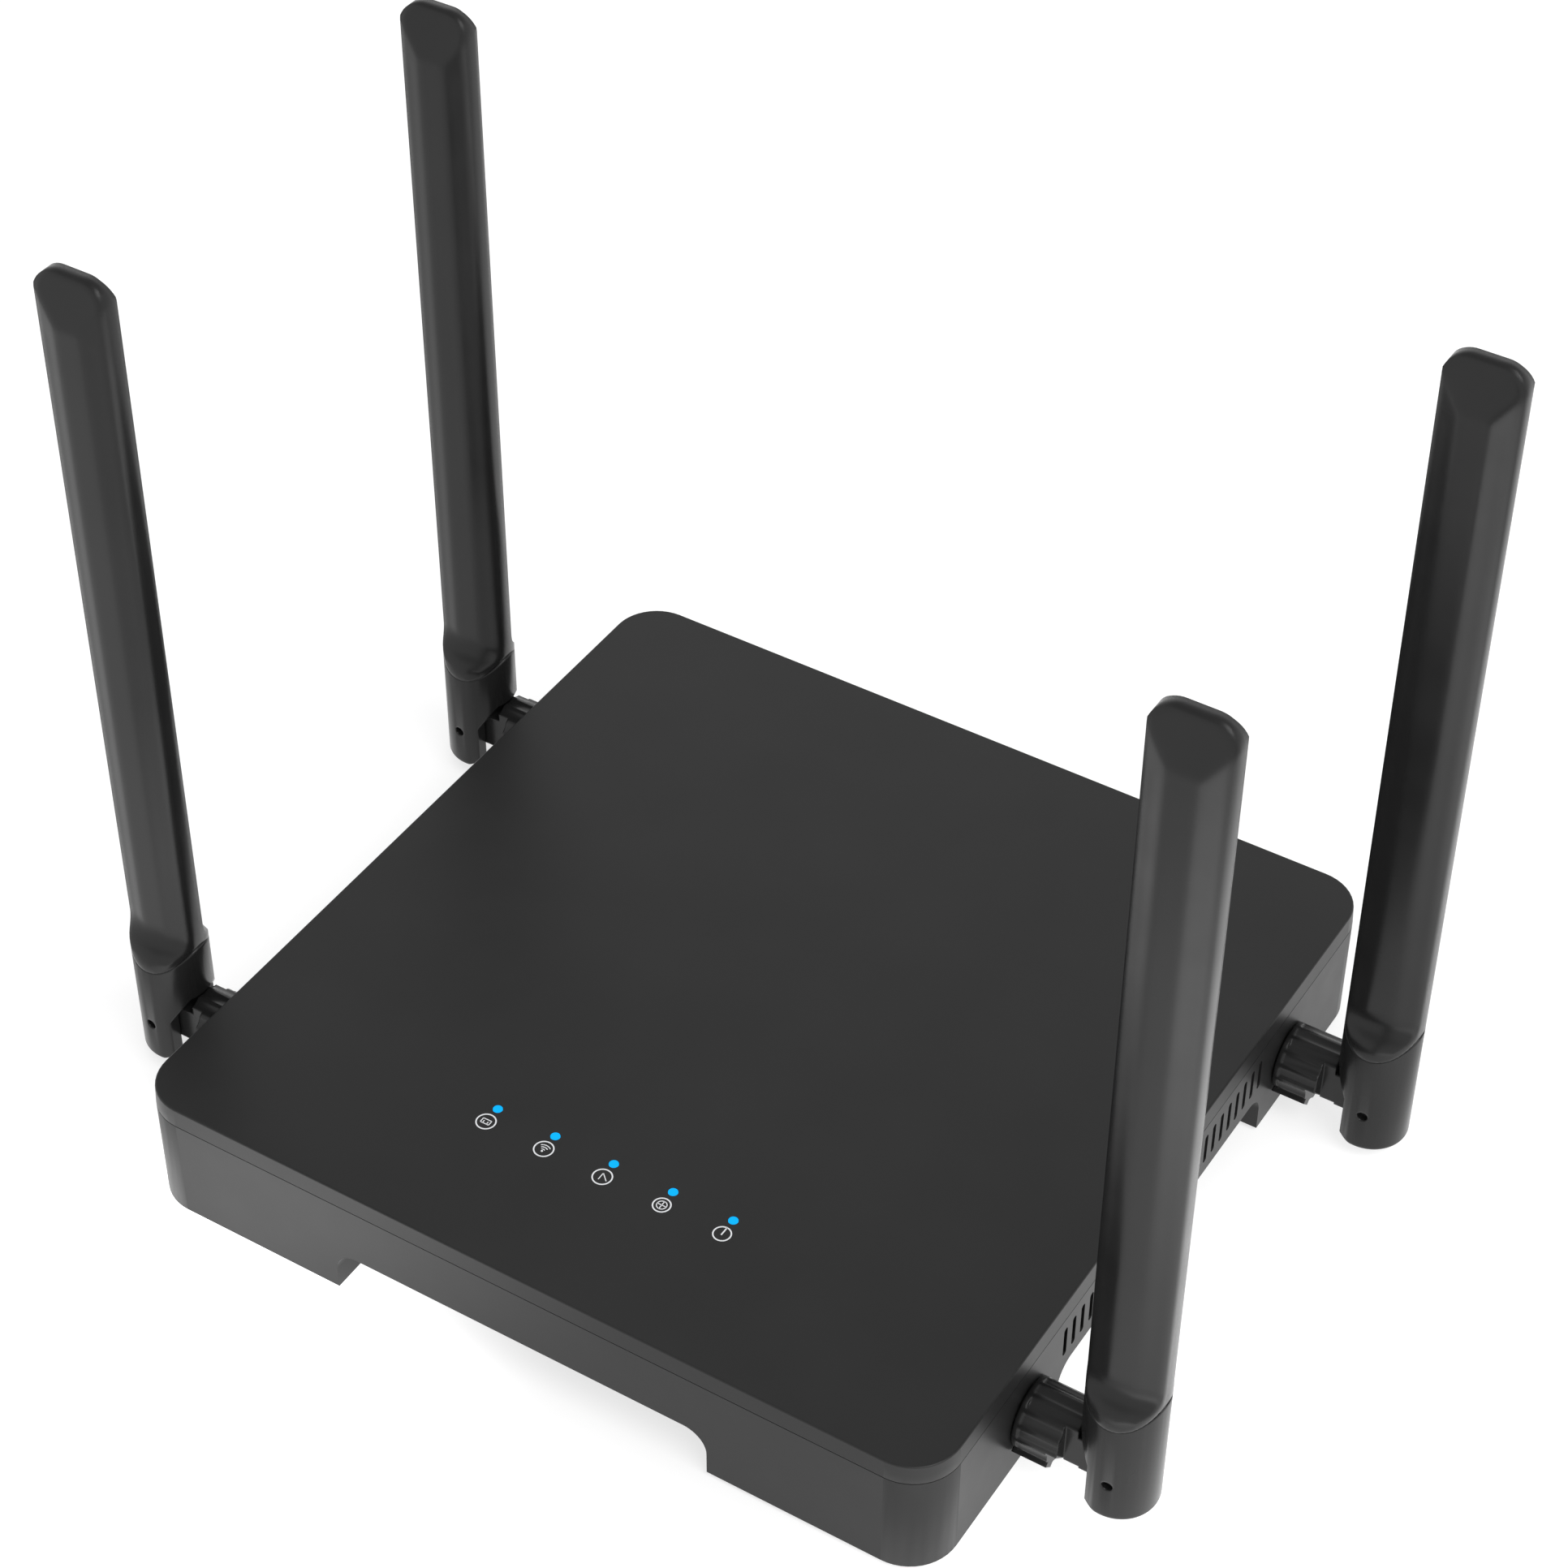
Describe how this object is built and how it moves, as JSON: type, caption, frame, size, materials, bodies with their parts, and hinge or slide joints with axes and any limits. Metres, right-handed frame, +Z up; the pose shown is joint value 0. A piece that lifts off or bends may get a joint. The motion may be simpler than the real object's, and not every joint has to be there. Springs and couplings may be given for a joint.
{
  "type": "wireless router",
  "caption": "Square low-profile wireless router with arched sides, vented walls, hinged swivelling paddle antennas, a status light row, network sockets and a power inlet.",
  "frame": {"origin": "under the middle of the case, on the surface that its feet stand on", "axes": "+X to the right as seen from the front, along the swivel axes; +Y to the rear, where the sockets are; +Z up; the status lights are at -Y"},
  "size_m": [0.2088, 0.16, 0.1704],
  "materials": {
    "case_plastic": "satin, fine moulded grain",
    "antenna_plastic": "satin",
    "foot_rubber": "matt",
    "screw_steel": "plated",
    "label_film": "printed film",
    "board_laminate": "solder mask",
    "chip_epoxy": "matt",
    "pad_silicone": "matt",
    "sink_aluminium": "milled",
    "tinplate": "tinned",
    "capacitor_can": "sleeved",
    "ferrite": "matt",
    "led_lens": "clear, lit",
    "clear_acrylic": "clear",
    "socket_plastic": "smooth",
    "contact_gold": "gold plated",
    "switch_plastic": "matt",
    "lead_sheath": "smooth"
  },
  "bodies": {
    "router": {"bottom_shell": "case_plastic", "top_cover": "case_plastic", "rubber_feet": "foot_rubber", "case_screws": "screw_steel", "board_screws": "screw_steel", "rating_label": "label_film", "main_board": "board_laminate", "logic_chips": "chip_epoxy", "thermal_pad": "pad_silicone", "heat_sink": "sink_aluminium", "shield_can": "tinplate", "radio_chips": "chip_epoxy", "electrolytic_capacitors": "capacitor_can", "power_inductors": "ferrite", "line_transformers": "chip_epoxy", "status_leds": "led_lens", "light_guide": "clear_acrylic", "lan_jack_1": "socket_plastic", "lan_jack_2": "socket_plastic", "lan_jack_3": "socket_plastic", "lan_jack_4": "socket_plastic", "wan_jack": "socket_plastic", "jack_contacts": "contact_gold", "power_inlet": "socket_plastic", "inlet_pin": "contact_gold", "power_switch": "switch_plastic", "wps_switch": "switch_plastic", "reset_switch": "switch_plastic", "rf_plugs": "contact_gold", "antenna_lead_front_left": "lead_sheath", "antenna_lead_front_right": "lead_sheath", "antenna_lead_rear_left": "lead_sheath", "antenna_lead_rear_right": "lead_sheath"},
    "swivel_front_left": {"swivel_barrel_front_left": "antenna_plastic", "retaining_clip_front_left": "screw_steel"},
    "antenna_front_left": {"antenna_blade_front_left": "antenna_plastic", "antenna_housing_front_left": "antenna_plastic", "hinge_pin_front_left": "screw_steel", "antenna_core_front_left": "board_laminate"},
    "swivel_front_right": {"swivel_barrel_front_right": "antenna_plastic", "retaining_clip_front_right": "screw_steel"},
    "antenna_front_right": {"antenna_blade_front_right": "antenna_plastic", "antenna_housing_front_right": "antenna_plastic", "hinge_pin_front_right": "screw_steel", "antenna_core_front_right": "board_laminate"},
    "swivel_rear_left": {"swivel_barrel_rear_left": "antenna_plastic", "retaining_clip_rear_left": "screw_steel"},
    "antenna_rear_left": {"antenna_blade_rear_left": "antenna_plastic", "antenna_housing_rear_left": "antenna_plastic", "hinge_pin_rear_left": "screw_steel", "antenna_core_rear_left": "board_laminate"},
    "swivel_rear_right": {"swivel_barrel_rear_right": "antenna_plastic", "retaining_clip_rear_right": "screw_steel"},
    "antenna_rear_right": {"antenna_blade_rear_right": "antenna_plastic", "antenna_housing_rear_right": "antenna_plastic", "hinge_pin_rear_right": "screw_steel", "antenna_core_rear_right": "board_laminate"},
    "power_button": {"power_button": "case_plastic"},
    "reset_button": {"reset_button": "case_plastic"},
    "wps_button": {"wps_button": "case_plastic"}
  },
  "joints": [
    {"name": "swivel_front_left", "type": "hinge", "parent": "router", "child": "swivel_front_left", "pos_m": [-0.0886, -0.048, 0.0112], "axis": [1, 0, 0], "range_deg": [-30, 90]},
    {"name": "tilt_front_left", "type": "hinge", "parent": "swivel_front_left", "child": "antenna_front_left", "pos_m": [-0.0982, -0.048, 0.0112], "axis": [0, -1, 0], "range_deg": [0, 90]},
    {"name": "swivel_front_right", "type": "hinge", "parent": "router", "child": "swivel_front_right", "pos_m": [0.0886, -0.048, 0.0112], "axis": [1, 0, 0], "range_deg": [-30, 90]},
    {"name": "tilt_front_right", "type": "hinge", "parent": "swivel_front_right", "child": "antenna_front_right", "pos_m": [0.0982, -0.048, 0.0112], "axis": [0, 1, 0], "range_deg": [0, 90]},
    {"name": "swivel_rear_left", "type": "hinge", "parent": "router", "child": "swivel_rear_left", "pos_m": [-0.0886, 0.048, 0.0112], "axis": [1, 0, 0], "range_deg": [-90, 30]},
    {"name": "tilt_rear_left", "type": "hinge", "parent": "swivel_rear_left", "child": "antenna_rear_left", "pos_m": [-0.0982, 0.048, 0.0112], "axis": [0, -1, 0], "range_deg": [0, 90]},
    {"name": "swivel_rear_right", "type": "hinge", "parent": "router", "child": "swivel_rear_right", "pos_m": [0.0886, 0.048, 0.0112], "axis": [1, 0, 0], "range_deg": [-90, 30]},
    {"name": "tilt_rear_right", "type": "hinge", "parent": "swivel_rear_right", "child": "antenna_rear_right", "pos_m": [0.0982, 0.048, 0.0112], "axis": [0, 1, 0], "range_deg": [0, 90]},
    {"name": "power_press", "type": "slide", "parent": "router", "child": "power_button", "axis": [0, -1, 0], "range_m": [0, 0.002], "stiffness_N_per_m": 800},
    {"name": "wps_press", "type": "slide", "parent": "router", "child": "wps_button", "axis": [0, -1, 0], "range_m": [0, 0.0005], "stiffness_N_per_m": 2500},
    {"name": "reset_press", "type": "slide", "parent": "router", "child": "reset_button", "axis": [0, -1, 0], "range_m": [0, 0.0005], "stiffness_N_per_m": 2500}
  ]
}
